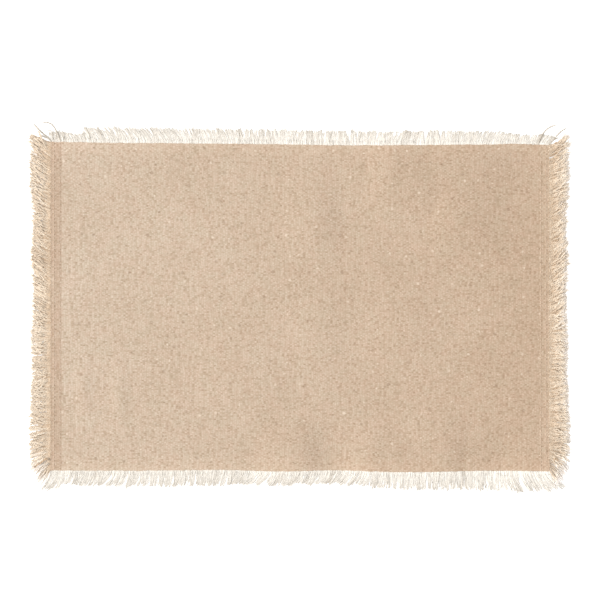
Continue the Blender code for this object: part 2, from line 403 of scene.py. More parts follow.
# %% The specks left in its yarns
Speck = namedtuple("Speck", "colour cells shift size share strength")
LINT = Speck((0.74, 0.63, 0.51, 1), (0.16, 0.105, 1), (7.3, 3.1, 0), 0.08, 0.5, 0.44)
SEEDS = Speck((0.17, 0.10, 0.06, 1), (0.19, 0.125, 1), (0, 0, 0), 0.11, 0.9, 0.34)


def strew(tree, colour, uv, speck):
    """Strews one kind of speck over a colour."""
    spots = vector_node(tree, "ADD", vector_node(tree, "MULTIPLY", uv, speck.cells), speck.shift)
    values = {"Vector": spots, "Size": speck.size, "Share": speck.share}
    mask = add(tree, "ShaderNodeGroup", values, node_tree=SPECKS).outputs["Mask"]
    return mix(tree, math_node(tree, "MULTIPLY", mask, speck.strength), colour, speck.colour)


# %% The finish of the woven cloth
DARK_TINT = (1.08, 1.0, 0.91, 1)
LIGHT_TINT = (0.975, 1.0, 1.035, 1)
TINT_RANGE = (0.65, 1.1)


def weave_material():
    material, tree, shader = new_cotton("woven cotton", 0.92, 0.12)
    uv = add(tree, "ShaderNodeUVMap", uv_map="weave").outputs[0]
    place = add(tree, "ShaderNodeTexCoord").outputs["Object"]
    height, own_tone = crossings(tree, uv)
    light = cloth_tone_and_shade(tree, uv, place, height, own_tone)
    tint = mix(tree, spread(tree, light, 0.0, 1.0, *TINT_RANGE), DARK_TINT, LIGHT_TINT)
    colour = shade(tree, shade(tree, cloth_colour(tree, place), light), tint)
    for speck in (LINT, SEEDS):
        colour = strew(tree, colour, uv, speck)
    values = {"Vector": uv, "Streaks": 5.0, "Strength": 0.25}
    fibres = add(tree, "ShaderNodeGroup", values, node_tree=FIBRES).outputs
    tree.links.new(shade(tree, colour, fibres["Shade"]), shader.inputs["Base Color"])
    rounded = bump(tree, height, 0.6, 0.1 * MM)
    hairy = bump(tree, fibres["Height"], 0.5, 0.15 * MM, rounded)
    tree.links.new(hairy, shader.inputs["Normal"])
    return material


WOVEN = weave_material()
print("finish:", WOVEN.name)

# %% [markdown]
# ## The woven panel
# The real cloth is a thick rep: thick wefts run along the mat and pass over and under thin
# warps, so the face shows rows of little ovals in a brick pattern, which stand about a quarter
# of a millimetre proud. A bump map would do from a distance, but the edge and a low view would
# stay flat. So a grid has one point for every crossing of two yarns, and each point is raised
# or lowered in turn. That is the weave itself, at the fewest faces that can hold it.

# %% Draw the grid out to the cloth's edges and raise the crossings
WARPS = round(CLOTH_LENGTH / WARP_SPACING)
WEFTS = round(CLOTH_WIDTH / WEFT_SPACING)
FLOAT_RELIEF = 0.14 * MM
HEM_RELIEF = 0.10 * MM
LEAST_RELIEF = 0.35  # the flattest crossing has this share of the relief
UNEVEN = 0.12  # how far a crossing strays, as a share of the spacing
WANDER = 0.9  # how far whole yarns wander, in spacings
WANDER_LENGTH = 14 * MM
CALM_EDGE = 10 * MM  # the wander sets in over this width


def inwards(x, y):
    """0 on the cloth's edges and 1 from a little way inside them."""
    inset = min(CLOTH_LENGTH / 2 - abs(x), CLOTH_WIDTH / 2 - abs(y))
    return min(max(inset / CALM_EDGE, 0.0), 1.0)


def place_crossing(point, chance):
    """Carries a point of the grid to its crossing, and raises or lowers it."""
    warp = round((point.co.x + 0.5) * WARPS)
    weft = round((point.co.y + 0.5) * WEFTS)
    over = 1 if (warp + weft) % 2 == 0 else -1
    x = point.co.x * CLOTH_LENGTH
    edge = at(OUTLINE, x)
    y = edge.front + (edge.back - edge.front) * (point.co.y + 0.5)
    in_hem = CLOTH_LENGTH / 2 - abs(x) < HEM_WIDTH
    relief = (HEM_RELIEF if in_hem else FLOAT_RELIEF) * chance.uniform(LEAST_RELIEF, 1.0)
    drift = noise.noise_vector(Vector((x, y, 0)) / WANDER_LENGTH) * WANDER * inwards(x, y)
    x += (chance.gauss(0, UNEVEN) + drift.x) * WARP_SPACING
    y += (chance.gauss(0, UNEVEN) + drift.y) * WEFT_SPACING
    point.co = (x, y, rise(x, y) + FLOAT_RELIEF + relief * over)


print(f"{WARPS} warps and {WEFTS} wefts")

# %% Give the grid its UV map and its thickness
WEAVE_SEED = 11
STITCH_SEED = 41


def face_outwards(bm):
    """Turns a closed shape's faces round where they point inwards."""
    if bm.calc_volume(signed=True) < 0:
        bmesh.ops.reverse_faces(bm, faces=bm.faces)


def weave_panel():
    chance = random.Random(WEAVE_SEED)
    noise.seed_set(WEAVE_SEED)  # without a seed, the wander would differ from run to run
    bm = bmesh.new()
    bmesh.ops.create_grid(bm, x_segments=WARPS, y_segments=WEFTS, size=0.5)
    counts = bm.loops.layers.uv.new("weave")
    for face in bm.faces:
        for loop in face.loops:
            spot = loop.vert.co
            loop[counts].uv = ((spot.x + 0.5) * WARPS, (spot.y + 0.5) * WEFTS)
    for point in bm.verts:
        place_crossing(point, chance)
    raised = bmesh.ops.extrude_face_region(bm, geom=bm.faces[:])
    for point in raised["geom"]:
        if isinstance(point, bmesh.types.BMVert):
            point.co.z += CLOTH_THICKNESS - 2 * FLOAT_RELIEF
    face_outwards(bm)
    return bm


# %% Make it a piece that stands for the cloth's solid
SHARP_EDGE = math.radians(60)


def make_object(bm, name, material):
    """Turns a bmesh into a smooth-shaded object at the origin."""
    mesh = bpy.data.meshes.new(name)
    bm.to_mesh(mesh)
    bm.free()
    mesh.materials.append(material)
    piece = bpy.data.objects.new(name, mesh)
    bpy.context.scene.collection.objects.link(piece)
    mesh.shade_smooth()
    return piece


def tell_size(piece):
    piece.data.calc_loop_triangles()
    print(piece.name, len(piece.data.loop_triangles), "triangles")


cloth = make_object(weave_panel(), "woven_panel", WOVEN)
cloth.data.set_sharp_from_angle(angle=SHARP_EDGE)
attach(cloth, "root")
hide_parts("cloth")
tell_size(cloth)

# %% [markdown]
# ## Yarn
# Every yarn and thread here is the same kind of shape: a few sides round, many rings long, bent
# along a line. So one straight strand is extruded ring by ring from a circle, and each yarn is
# a copy of it whose rings are carried to that yarn's own line. Two of them wound round each
# other make a plied yarn. The copies are joined into one mesh for each fringe.

# %% One straight strand, extruded ring by ring


def straight_strand(sides, rings):
    """A strand along Z, one unit round and one unit from ring to ring."""
    bm = bmesh.new()
    circle = bmesh.ops.create_circle(bm, cap_ends=True, segments=sides, radius=1)
    end = circle["verts"][0].link_faces[0]
    made = bmesh.ops.extrude_face_region(bm, geom=[end])["geom"]
    end = next(part for part in made if isinstance(part, bmesh.types.BMFace))
    for ring in range(1, rings):
        for corner in end.verts:
            corner.co.z = ring
        if ring < rings - 1:
            end = bmesh.ops.extrude_discrete_faces(bm, faces=[end])["faces"][0]
    face_outwards(bm)
    mesh = bpy.data.meshes.new("straight strand")
    bm.to_mesh(mesh)
    bm.free()
    mesh.shade_smooth()
    return mesh


# %% Bend a copy of it along a line


def across_line(line):
    """At each point of a line, the directions beside and above it."""
    ahead = np.gradient(line, axis=0)
    ahead /= np.linalg.norm(ahead, axis=1)[:, None]
    beside = np.cross(ahead, (0.0, 0.0, 1.0))
    beside /= np.linalg.norm(beside, axis=1)[:, None]
    return beside, np.cross(beside, ahead)


def bend_strand(straight, line, radii, tone, flatness=1.0):
    """A copy of the straight strand along a line of points, one for each ring."""
    mesh = straight.copy()
    flat = np.empty(len(mesh.vertices) * 3)
    mesh.vertices.foreach_get("co", flat)
    corners = flat.reshape(-1, 3)
    rings = np.rint(corners[:, 2]).astype(int)
    beside, above = across_line(line)
    sideways = corners[:, 0:1] * beside[rings]
    upwards = corners[:, 1:2] * above[rings] * flatness
    spots = line[rings] + radii[rings][:, None] * (sideways + upwards)
    spots[:, 2] = np.maximum(spots[:, 2], 0.0)
    mesh.vertices.foreach_set("co", spots.ravel())
    tones = mesh.attributes.new("tone", "FLOAT", "POINT")
    tones.data.foreach_set("value", tone[rings])
    return mesh


# %% Join the bent strands of a fringe


def join_strands(meshes, name, material):
    pieces = [bpy.data.objects.new(name, mesh) for mesh in meshes]
    for piece in pieces:
        bpy.context.scene.collection.objects.link(piece)
    whole = pieces[0]
    chosen = {"active_object": whole, "object": whole, "selected_editable_objects": pieces}
    with bpy.context.temp_override(**chosen):
        bpy.ops.object.join()
    whole.data.materials.clear()
    whole.data.materials.append(material)
    whole.name = name
    whole.data.name = name
    return whole


# %% [markdown]
# ## How the fringes lie
# On every side the yarns fan outwards, and they lean in stretches where a hand has brushed them.
# The rows say where along the edge, how far the yarns lean, in degrees towards +X or +Y, and how
# far their tips stand past the cloth. Neighbours cling together at their tips, so the yarns are
# gathered in small tufts, each with a lean of its own.

# %% The tables of leans: tone is warmer above 0, and fill is the share of yarns that are left
Lie = namedtuple("Lie", "along lean reach tone fill", defaults=(0.0, 1.0))
# Near the front corners the pale tones are partly the strands' own colour and partly painted
# light against the shade in the corner fans.
SIDE_LIES = (
    Lie(-137 * MM, -64, 6.4 * MM, -0.8, 0.90),
    Lie(-134 * MM, -51, 11.0 * MM, -0.8, 0.80),
    Lie(-129 * MM, -38, 15.0 * MM, -0.8, 0.85),
    Lie(-125 * MM, -29, 16.4 * MM, -0.5),
    Lie(-121 * MM, -22, 16.8 * MM, -0.15),
    Lie(-118 * MM, -18, 16.9 * MM),
    Lie(-100 * MM, -4, 17.0 * MM),
    Lie(-72 * MM, 7, 16.1 * MM),
    Lie(-60 * MM, -4, 14.9 * MM),
    Lie(-28 * MM, -3, 15.6 * MM, -0.10),
    Lie(5 * MM, 24, 14.2 * MM, -0.04),
    Lie(30 * MM, 32, 15.2 * MM, 0.08),
    Lie(68 * MM, 18, 14.0 * MM, 0.05),
    Lie(96 * MM, 28, 16.2 * MM),
    Lie(115 * MM, 25, 16.4 * MM),
    Lie(122 * MM, 29, 16.2 * MM, -0.1, 0.80),
    Lie(128 * MM, 41, 16.0 * MM, 0.12, 0.95),
    Lie(137 * MM, 21, 16.0 * MM, 0.0, 0.85),
)
BACK_LIES = (
    Lie(-208 * MM, -60, 5.4 * MM, 0.05),
    Lie(-203 * MM, -30, 8.8 * MM, 0.08),
    Lie(-196 * MM, -24, 8.6 * MM, 0.05),
    Lie(-181 * MM, -20, 7.6 * MM, 0.05),
    Lie(-174 * MM, -26, 12.4 * MM, 0.02),
    Lie(-137 * MM, -24, 12.6 * MM, 0.02),
    Lie(-110 * MM, -30, 12.8 * MM, 0.04),
    Lie(-84 * MM, -14, 12.6 * MM, 0.05),
    Lie(0 * MM, 0, 12.2 * MM, 0.05),
    Lie(66 * MM, 2, 12.0 * MM, 0.05),
    Lie(88 * MM, 18, 12.2 * MM, 0.05),
    Lie(115 * MM, 2, 12.2 * MM, 0.06),
    Lie(140 * MM, 6, 11.8 * MM, 0.06),
    Lie(158 * MM, 30, 10.8 * MM, 0.06),
    Lie(186 * MM, 10, 7.8 * MM, 0.06),
    Lie(201 * MM, 32, 9.0 * MM, 0.06),
    Lie(208 * MM, 56, 5.8 * MM, 0.13),
)
FRONT_LIES = (
    Lie(-208 * MM, -34, 15.0 * MM, 0.06),
    Lie(-201 * MM, -22, 16.8 * MM, 0.06),
    Lie(-194 * MM, -22, 11.8 * MM, 0.01),
    Lie(-150 * MM, -24, 13.4 * MM, 0.04),
    Lie(-122 * MM, -8, 13.8 * MM, 0.06),
    Lie(-78 * MM, -4, 13.4 * MM, 0.07),
    Lie(-32 * MM, -33, 11.4 * MM, 0.07),
    Lie(0 * MM, -20, 11.4 * MM, 0.08),
    Lie(40 * MM, -28, 12.2 * MM, 0.08),
    Lie(82 * MM, 0, 14.6 * MM, 0.06),
    Lie(160 * MM, 1, 16.2 * MM, 0.05),
    Lie(184 * MM, 24, 17.6 * MM, -0.04),
    Lie(208 * MM, 38, 15.6 * MM, -0.10),
)
print(len(SIDE_LIES), len(BACK_LIES), len(FRONT_LIES), "rows")

# %% The four sides: the direction along the edge, the direction out, and how their yarns differ
Side = namedtuple("Side", "name run out lies sets_in stretch tone root tip seed")
EAST, NORTH = np.array((1, 0, 0)), np.array((0, 1, 0))
# On the right, root and tip paint the yarns paler: painted light against the cloth's shadow on
# the roots and the shade of the tips, which face away from the sun. The left's tips are painted
# a touch paler. Tone makes the right side a little warmer throughout.
LEFT = Side("left", NORTH, -EAST, SIDE_LIES, 7 * MM, 1.055, 0.03, 0.0, -0.03, 5)
RIGHT = Side("right", NORTH, EAST, SIDE_LIES, 7 * MM, 1.02, 0.17, -0.25, -0.90, 7)
BACK = Side("back", EAST, NORTH, BACK_LIES, 1 * MM, 1.0, 0.0, 0.0, 0.0, 18)
FRONT = Side("front", EAST, -NORTH, FRONT_LIES, 1 * MM, 1.0, 0.0, 0.0, 0.0, 29)


def edge_span(side):
    """Where a side's edge starts and ends, along it."""
    if side.name in ("left", "right"):
        corner = at(OUTLINE, side.out[0] * CLOTH_LENGTH / 2)
        return corner.front, corner.back
    return -CLOTH_LENGTH / 2, CLOTH_LENGTH / 2


def edge_at(side, along):
    """How far out the cloth's edge is at a place along it."""
    if side.name in ("left", "right"):
        return CLOTH_LENGTH / 2
    return abs(getattr(at(OUTLINE, along), side.name))


print(f"the back edge is {edge_at(BACK, 0.0) / MM:.1f} mm from the middle")

# %% Carry a line to its side of the mat
FALL = 6.0 * MM  # how soon past the edge a yarn is down on the table
LIFT_FALL = 12.0 * MM  # how soon it has lost the height of a swell


def settle(past, length):
    """Eases from 1 at the edge to 0 at a length past it."""
    return 1 - ease(np.clip(past / length, 0, 1))


def to_table(side, root, line):
    """Carries a line of (along, past, height) points to its side of the mat."""
    edge = side.run * root + side.out * edge_at(side, root)
    spots = edge + np.outer(line[:, 0] - root, side.run) + np.outer(line[:, 1], side.out)
    spots[:, 2] = line[:, 2] + rise(edge[0], edge[1]) * settle(line[:, 1], LIFT_FALL)
    return spots


# %% Gather the yarns of a side into tufts
Yarn = namedtuple(
    "Yarn",
    "spacing tuft cling tuft_lean own_lean tuft_length own_length curl bend layers layer depth "
    "thickness tone tuft_tone own_tone sparse root_tone tip_tone",
)
Tuft = namedtuple("Tuft", "middle swerve stretch piled tone")
ROOT_STRAY = 0.2  # how far a root strays along the edge, in spacings


def gather(side, yarn, chance):
    """Each yarn's tuft and root, and the row of the table at its root."""
    start, end = edge_span(side)
    count = round((end - start) / yarn.spacing)
    step = (end - start) / count
    number = 0
    while number < count:
        size = min(chance.choice(yarn.tuft), count - number)
        tuft = Tuft(
            middle=start + step * (number + size / 2),
            swerve=chance.gauss(0, yarn.tuft_lean),
            stretch=1 + chance.gauss(0, yarn.tuft_length),
            piled=chance.choice(yarn.layers),
            tone=yarn.tone + side.tone + chance.gauss(0, yarn.tuft_tone),
        )
        for place in range(number, number + size):
            root = start + step * (place + 0.5 + chance.uniform(-ROOT_STRAY, ROOT_STRAY))
            lie = at(side.lies, root)
            if chance.random() <= lie.fill**yarn.sparse:
                yield tuft, root, lie
        number += size


# %% Draw the line of each yarn
TURN = 6.3  # about a full turn, in radians
WANDER_TURN = (4, 9)  # how far the wander turns from root to tip, in radians
LEAST_DEPTH = 0.35  # how far in the shallowest yarn starts, as a share of the depth
PILE_UP = 9.0 * MM  # how far past the edge the yarns are piled in full
TIP_SINK = 0.1
LEAVES_AT = (0.48, 0.66)  # where a yarn leaves the cloth, as a share of its thickness
OWN_FALL = (0.5, 1.2)
ROOT_LENGTH = 4.0 * MM  # how far past the edge the tone of the roots reaches


def yarn_lines(side, yarn, rings, rest):
    """Each yarn's root, its line from inside the cloth to its tip, and its tone."""
    chance = random.Random(side.seed)
    share = np.linspace(0, 1, rings)
    for tuft, root, lie in gather(side, yarn, chance):
        length = lie.reach * side.stretch / math.cos(math.radians(lie.lean))
        length *= tuft.stretch * (1 + chance.gauss(0, yarn.own_length))
        lean = math.radians(lie.lean + tuft.swerve + chance.gauss(0, yarn.own_lean))
        reach = length * math.cos(lean)
        depth = yarn.depth * chance.uniform(LEAST_DEPTH, 1.0)
        past = -depth + (reach + depth) * share
        out = np.clip(past / reach, 0, 1)
        tip = tuft.middle + (root - tuft.middle) * yarn.cling + length * math.sin(lean)
        turn = chance.uniform(0, TURN) + out * chance.uniform(*WANDER_TURN)
        along = root + (tip - root) * out**yarn.bend + np.sin(turn) * yarn.curl * out
        layer = (tuft.piled + chance.random()) * yarn.layer
        height = rest + layer * (1 - settle(past, PILE_UP)) * (1 - TIP_SINK * out**3)
        leave = CLOTH_THICKNESS * chance.uniform(*LEAVES_AT)
        height = height + (leave - height) * settle(past, FALL * chance.uniform(*OWN_FALL))
        tone = tuft.tone + chance.uniform(-1, 1) * yarn.own_tone
        tone = tone + lie.tone * (1 - settle(past, side.sets_in))
        # side.root and side.tip paint light on the right fringe's roots and tips; root_tone
        # darkens the roots.
        tone = tone + (yarn.root_tone + side.root) * settle(past, ROOT_LENGTH)
        tone = tone + yarn.tip_tone * out**2 + side.tip * out**4
        yield root, np.stack([along, past, height], axis=1), tone


# %% [markdown]
# ## The short sides: thick plied yarn
# These are the ends of the thick wefts, freed from the weave. Each is two plies twisted
# together, it keeps the wave that the weaving pressed into it, and its cut end opens a little.
# They cross and pile on each other and hide the table, so they make a dense ecru brush.

# %% Wind two plies round a line


def run_of(line):
    """How far each point of a line is from its start, measured along it."""
    return np.concatenate([[0], np.cumsum(np.linalg.norm(np.diff(line, axis=0), axis=1))])


def wind(line, radii, opening, pitch, phase, straight, tone):
    """Meshes of the two plies of one yarn, wound round its line."""
    run = run_of(line)
    beside, above = across_line(line)
    for ply in (0.0, 0.5):
        turn = 2 * math.pi * (run / pitch + phase + ply)
        off_line = np.cos(turn)[:, None] * beside + np.sin(turn)[:, None] * above
        wound = line + opening[:, None] * off_line
        wound[:, 2] = np.maximum(wound[:, 2], radii)
        yield bend_strand(straight, wound, radii, tone)


def tip_share(rings, start):
    """For each ring, 0 up to a share of the length, and from there up to 1 at the tip."""
    return np.clip((np.linspace(0, 1, rings) - start) / (1 - start), 0, 1)


# %% Strays: single yarns that lie across the others
STRAY_SIDES, STRAY_RINGS = 6, 36
STRAY_PITCH = 4.4 * MM
STRAY_PLY = 0.58  # a ply's radius, as a share of the stray's
STRAY_OFFSET = 0.46  # how far off the line a ply lies, as a share of the stray's radius
STRAY_TIP = 0.88  # from this share of its length on, it opens
STRAY_TAPER = 0.6
TIP_OPENING = 0.9
CURVE_STEPS = 12


def smooth_line(points, count):
    """A smooth curve through a few points, as evenly spaced points."""
    table = np.array(points, float)
    ends = np.vstack([2 * table[0] - table[1], table, 2 * table[-1] - table[-2]])
    fine = []
    for before, here, there, after in zip(ends, ends[1:], ends[2:], ends[3:]):
        for share in np.linspace(0, 1, CURVE_STEPS, endpoint=False):
            slope = (there - before) * share
            curve = (2 * before - 5 * here + 4 * there - after) * share**2
            twist = (3 * here - before - 3 * there + after) * share**3
            fine.append(0.5 * (2 * here + slope + curve + twist))
    fine = np.array(fine + [table[-1]])
    run = run_of(fine)
    even = np.linspace(0, run[-1], count)
    return np.stack([np.interp(even, run, fine[:, axis]) for axis in range(2)], axis=1)


def stray_strands(paths, heights, radius, tone):
    """Two plies on each path, in mm, from the first height to the last; they open at the tip."""
    straight = straight_strand(STRAY_SIDES, STRAY_RINGS)
    tip = tip_share(STRAY_RINGS, STRAY_TIP)
    radii = radius * STRAY_PLY * (1 - STRAY_TAPER * tip)
    opening = radius * STRAY_OFFSET * (1 + TIP_OPENING * tip)
    first, last = heights
    height = first + (last - first) * ease(np.linspace(0, 1, STRAY_RINGS))
    tones = np.full(STRAY_RINGS, tone)
    meshes = []
    for path in paths:
        line = np.column_stack([smooth_line(path, STRAY_RINGS) * MM, height])
        meshes.extend(wind(line, radii, opening, STRAY_PITCH, 0.0, straight, tones))
    return meshes


# %% The plied yarns, under ones and upper ones
PLY_RADIUS = 0.40 * MM
PLY_OFFSET = 0.33 * MM
THICK_SIDES, THICK_RINGS = 4, 18
# The under yarns are painted darker and warmer than the upper ones: painted shade for the brown
# gaps between the upper yarns. Both kinds have paler tips, partly the thin ends' own paleness
# and partly painted light against the shade among the tips.
UNDER = Yarn(
    spacing=WEFT_SPACING * 0.6,
    tuft=(1,),
    cling=1.0,
    tuft_lean=0.0,
    own_lean=4.0,
    tuft_length=0.0,
    own_length=0.04,
    curl=0.6 * MM,
    bend=1.25,
    layers=(0,),
    layer=0.3 * MM,
    depth=1.0 * MM,
    thickness=1.2,
    tone=0.58,
    tuft_tone=0.0,
    own_tone=0.18,
    sparse=1,
    root_tone=0.0,
    tip_tone=-0.5,
)
UPPER = Yarn(
    spacing=WEFT_SPACING * 0.68,
    tuft=(2, 3, 3, 4, 4, 5),
    cling=0.96,
    tuft_lean=5.0,
    own_lean=11.0,
    tuft_length=0.012,
    own_length=0.04,
    curl=1.1 * MM,
    bend=1.25,
    layers=(1, 2, 2, 3),
    layer=0.36 * MM,
    depth=1.0 * MM,
    thickness=1.0,
    tone=0.22,
    tuft_tone=0.06,
    own_tone=0.18,
    sparse=3,
    root_tone=0.2,
    tip_tone=-0.2,
)
print(f"yarns {UNDER.spacing / MM:.2f} and {UPPER.spacing / MM:.2f} mm apart")

# %% Lay them along a short side
PLY_PITCH = 4.6 * MM
PLY_TIP = 0.78  # from this share of its length on, a yarn opens
PLY_TAPER = 0.75
PLY_OWN_SIZE = (0.85, 1.15)
CRIMP = 0.44 * MM
CRIMP_UPWARDS = 0.4
FRAYED_BELOW = -127 * MM  # nearer the front corners than this, the plies have come apart
FRAYED_PITCH = 60 * MM
FRAYED_OPENING = PLY_OFFSET * np.linspace(0.6, 5.0, THICK_RINGS)
FRAYED_THICKNESS = 0.6


def crimp(line, chance):
    """Gives a yarn the wave that the weaving pressed into it, rolled any way round."""
    wave = CRIMP * np.sin(math.pi * line[:, 1] / WARP_SPACING + chance.uniform(0, TURN))
    wave *= np.clip(line[:, 1] / FALL, 0, 1)
    roll = chance.uniform(0, TURN)
    line[:, 0] += wave * math.cos(roll)
    line[:, 2] += wave * math.sin(roll) * CRIMP_UPWARDS


def plied_yarns(side):
    straight = straight_strand(THICK_SIDES, THICK_RINGS)
    chance = random.Random(side.seed + 1)
    tip = tip_share(THICK_RINGS, PLY_TIP)
    meshes = []
    for yarn in (UNDER, UPPER):
        for root, line, tone in yarn_lines(side, yarn, THICK_RINGS, PLY_RADIUS + PLY_OFFSET):
            crimp(line, chance)
            line = to_table(side, root, line)
            pitch, opening = PLY_PITCH, PLY_OFFSET * (1 + TIP_OPENING * tip)
            radii = PLY_RADIUS * yarn.thickness * (1 - PLY_TAPER * tip)
            radii *= chance.uniform(*PLY_OWN_SIZE)
            if root < FRAYED_BELOW:
                pitch, opening = FRAYED_PITCH, FRAYED_OPENING
                radii *= FRAYED_THICKNESS
            meshes.extend(wind(line, radii, opening, pitch, chance.random(), straight, tone))
    return meshes


# %% The yarn that lies bent across the others near each front corner
CROSSED_RADIUS = 0.62 * MM
CROSSED_TONE = 0.86
CROSSED_PATHS = {
    "left": ((-211.0, -128.5), (-212.4, -126.8), (-215.6, -130.0), (-222.6, -134.6)),
    "right": ((212.2, -128.5), (213.8, -126.8), (216.4, -129.8), (219.8, -132.6)),
}
CROSSED_HEIGHTS = {"left": (3.0 * MM, 1.8 * MM), "right": (2.9 * MM, 1.8 * MM)}


def crossed_yarn(side):
    path, heights = CROSSED_PATHS[side.name], CROSSED_HEIGHTS[side.name]
    return stray_strands([path], heights, CROSSED_RADIUS, CROSSED_TONE)


# %% Ecru yarn finish
YARN_PALE = (0.735, 0.628, 0.502, 1)
YARN_WARM = (0.40, 0.265, 0.155, 1)
# Below 0, a tone makes the pale colour paler still: the pale strands near the front corners, and
# painted light on the yarn tips, most on the right.
PALER_TONE_AND_PAINTED_LIGHT = (1.14, 1.26, 1.50, 1)  # what a tone of -1 does to the pale colour


def yarn_material(name, pale, warm, patchy, grain, sheen):
    """Cotton yarn, paler or warmer by strand, with soft patches and fibres."""
    material, tree, shader = new_cotton(name, 0.9, sheen)
    tone = add(tree, "ShaderNodeAttribute", attribute_name="tone").outputs["Fac"]
    place = add(tree, "ShaderNodeTexCoord").outputs["Object"]
    paler_and_painted_light = mix(tree, spread(tree, tone, 1.0, 0.0, -1.0, 0.0), PLAIN, PALER_TONE_AND_PAINTED_LIGHT)
    colour = shade(tree, mix(tree, tone, pale, warm), paler_and_painted_light)
    blotch = clouds(tree, place, 380.0, 2.0, roughness=0.5)
    colour = shade(tree, colour, swing(tree, blotch, patchy))
    values = {"Vector": place, "Streaks": grain, "Strength": 0.3}
    fibres = add(tree, "ShaderNodeGroup", values, node_tree=FIBRES).outputs
    tree.links.new(shade(tree, colour, fibres["Shade"]), shader.inputs["Base Color"])
    tree.links.new(bump(tree, fibres["Height"], 0.6, 0.1 * MM), shader.inputs["Normal"])
    return material


ECRU = yarn_material("plied ecru yarn", YARN_PALE, YARN_WARM, 0.32, 3000.0, 0.15)
print("finish:", ECRU.name)

# %% Make the two short fringes
for side in (LEFT, RIGHT):
    strands = plied_yarns(side) + crossed_yarn(side)
    fringe = join_strands(strands, "yarn_fringe_" + side.name, ECRU)
    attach(fringe, "root")
    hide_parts("fringe_" + side.name)
    tell_size(fringe)

# %% [markdown]
# ## The long sides: thin single thread
# Here the thin warps are left free. Each warp is a few fine cream threads, which lie side by
# side, swing a little on their own and let the white table through.

# %% Lay the thin threads
FINE_RADIUS = 0.31 * MM
FINE_FLATNESS = 0.5  # a soft thread lies flatter than it is wide
FINE_SIDES, FINE_RINGS = 4, 15
FINE_TIP = 5 / 6  # from this share of its length on, a thread thins
FINE_TAPER = 0.4
FINE_OWN_SIZE = (0.8, 1.2)
THREADS_IN_A_WARP = 6
THIN = Yarn(
    spacing=WARP_SPACING / THREADS_IN_A_WARP,
    tuft=(4, 6, 8, 9, 12),
    cling=0.62,
    tuft_lean=4.0,
    own_lean=5.0,
    tuft_length=0.04,
    own_length=0.05,
    curl=0.4 * MM,
    bend=1.7,
    layers=(0, 0, 1),
    layer=0.25 * MM,
    depth=1.6 * MM,
    thickness=1.0,
    tone=0.23,
    tuft_tone=0.08,
    own_tone=0.15,
    sparse=1,
    root_tone=-0.02,
    tip_tone=0.26,
)


def thin_threads(side):
    straight = straight_strand(FINE_SIDES, FINE_RINGS)
    chance = random.Random(side.seed + 1)
    thinning = 1 - FINE_TAPER * tip_share(FINE_RINGS, FINE_TIP)
    meshes = []
    for root, line, tone in yarn_lines(side, THIN, FINE_RINGS, FINE_RADIUS):
        radii = FINE_RADIUS * THIN.thickness * thinning * chance.uniform(*FINE_OWN_SIZE)
        line = to_table(side, root, line)
        meshes.append(bend_strand(straight, line, radii, tone, FINE_FLATNESS))
    return meshes


print(f"threads {THIN.spacing / MM:.2f} mm apart")

# %% The long threads that have worked loose at the back corners
LOOSE_RADIUS = 0.66 * MM
LOOSE_TONE = 0.88
LOOSE_HEIGHTS = (0.85 * MM, 0.5 * MM)
LOOSE_PATHS = (
    ((-206, 134.0), (-208.5, 138.5), (-212.5, 142.5), (-218, 147.5), (-223.0, 152.8)),
    (
        (-199, 134.0),
        (-201, 140.0),
        (-203.6, 146.2),
        (-207.0, 151.6),
        (-210.0, 153.5),
        (-213.6, 154.3),
        (-216.0, 154.0),
    ),
    ((198.5, 132.0), (200, 138.5), (204.2, 146.0), (209.6, 150.4), (214.6, 151.6)),
    ((205, 131.0), (209, 136.0), (213.0, 140.8), (218, 146.2), (222.8, 149.4)),
)
print(len(LOOSE_PATHS), "loose threads")

# %% Fine wisps among them
WISP_RADIUS = 0.40 * MM
WISP_TONE = 0.8
WISP_PATHS = (
    (
        (-206.6, 135.0),
        (-206.8, 141.0),
        (-207.4, 145.3),
        (-208.6, 147.2),
        (-210.4, 147.5),
        (-212.0, 146.4),
    ),
    ((-205.0, 135.0), (-204.4, 140.0), (-203.6, 144.6), (-204.8, 148.0)),
    ((-200.2, 135.0), (-201.6, 140.5), (-202.4, 144.4), (-201.2, 148.4)),
    ((-196.0, 135.0), (-197.2, 141.0), (-197.8, 144.8), (-199.8, 147.0)),
    ((-174.4, 134.5), (-175.6, 140.0), (-176.9, 145.0), (-179.8, 150.0)),
)
print(len(WISP_PATHS), "wisps")

# %% Cream thread finish
THREAD_PALE = (0.80, 0.762, 0.70, 1)
THREAD_WARM = (0.435, 0.380, 0.312, 1)
CREAM = yarn_material("cream thread", THREAD_PALE, THREAD_WARM, 0.20, 4000.0, 0.1)
print("finish:", CREAM.name)

# %% Make the two long fringes
for side in (BACK, FRONT):
    strands = thin_threads(side)
    if side is BACK:
        strands += stray_strands(LOOSE_PATHS, LOOSE_HEIGHTS, LOOSE_RADIUS, LOOSE_TONE)
        strands += stray_strands(WISP_PATHS, LOOSE_HEIGHTS, WISP_RADIUS, WISP_TONE)
    fringe = join_strands(strands, "thread_fringe_" + side.name, CREAM)
    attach(fringe, "root")
    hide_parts("fringe_" + side.name)
    tell_size(fringe)

# %% [markdown]
# ## Hem stitching
# Two rows of stitches run down each hem band and lock the first warps, so that the fringe can't
# ravel the cloth. Each stitch is a short thread that comes up out of one needle hole and goes
# down into the next, so it is a low arch that dips into the cloth at both ends.

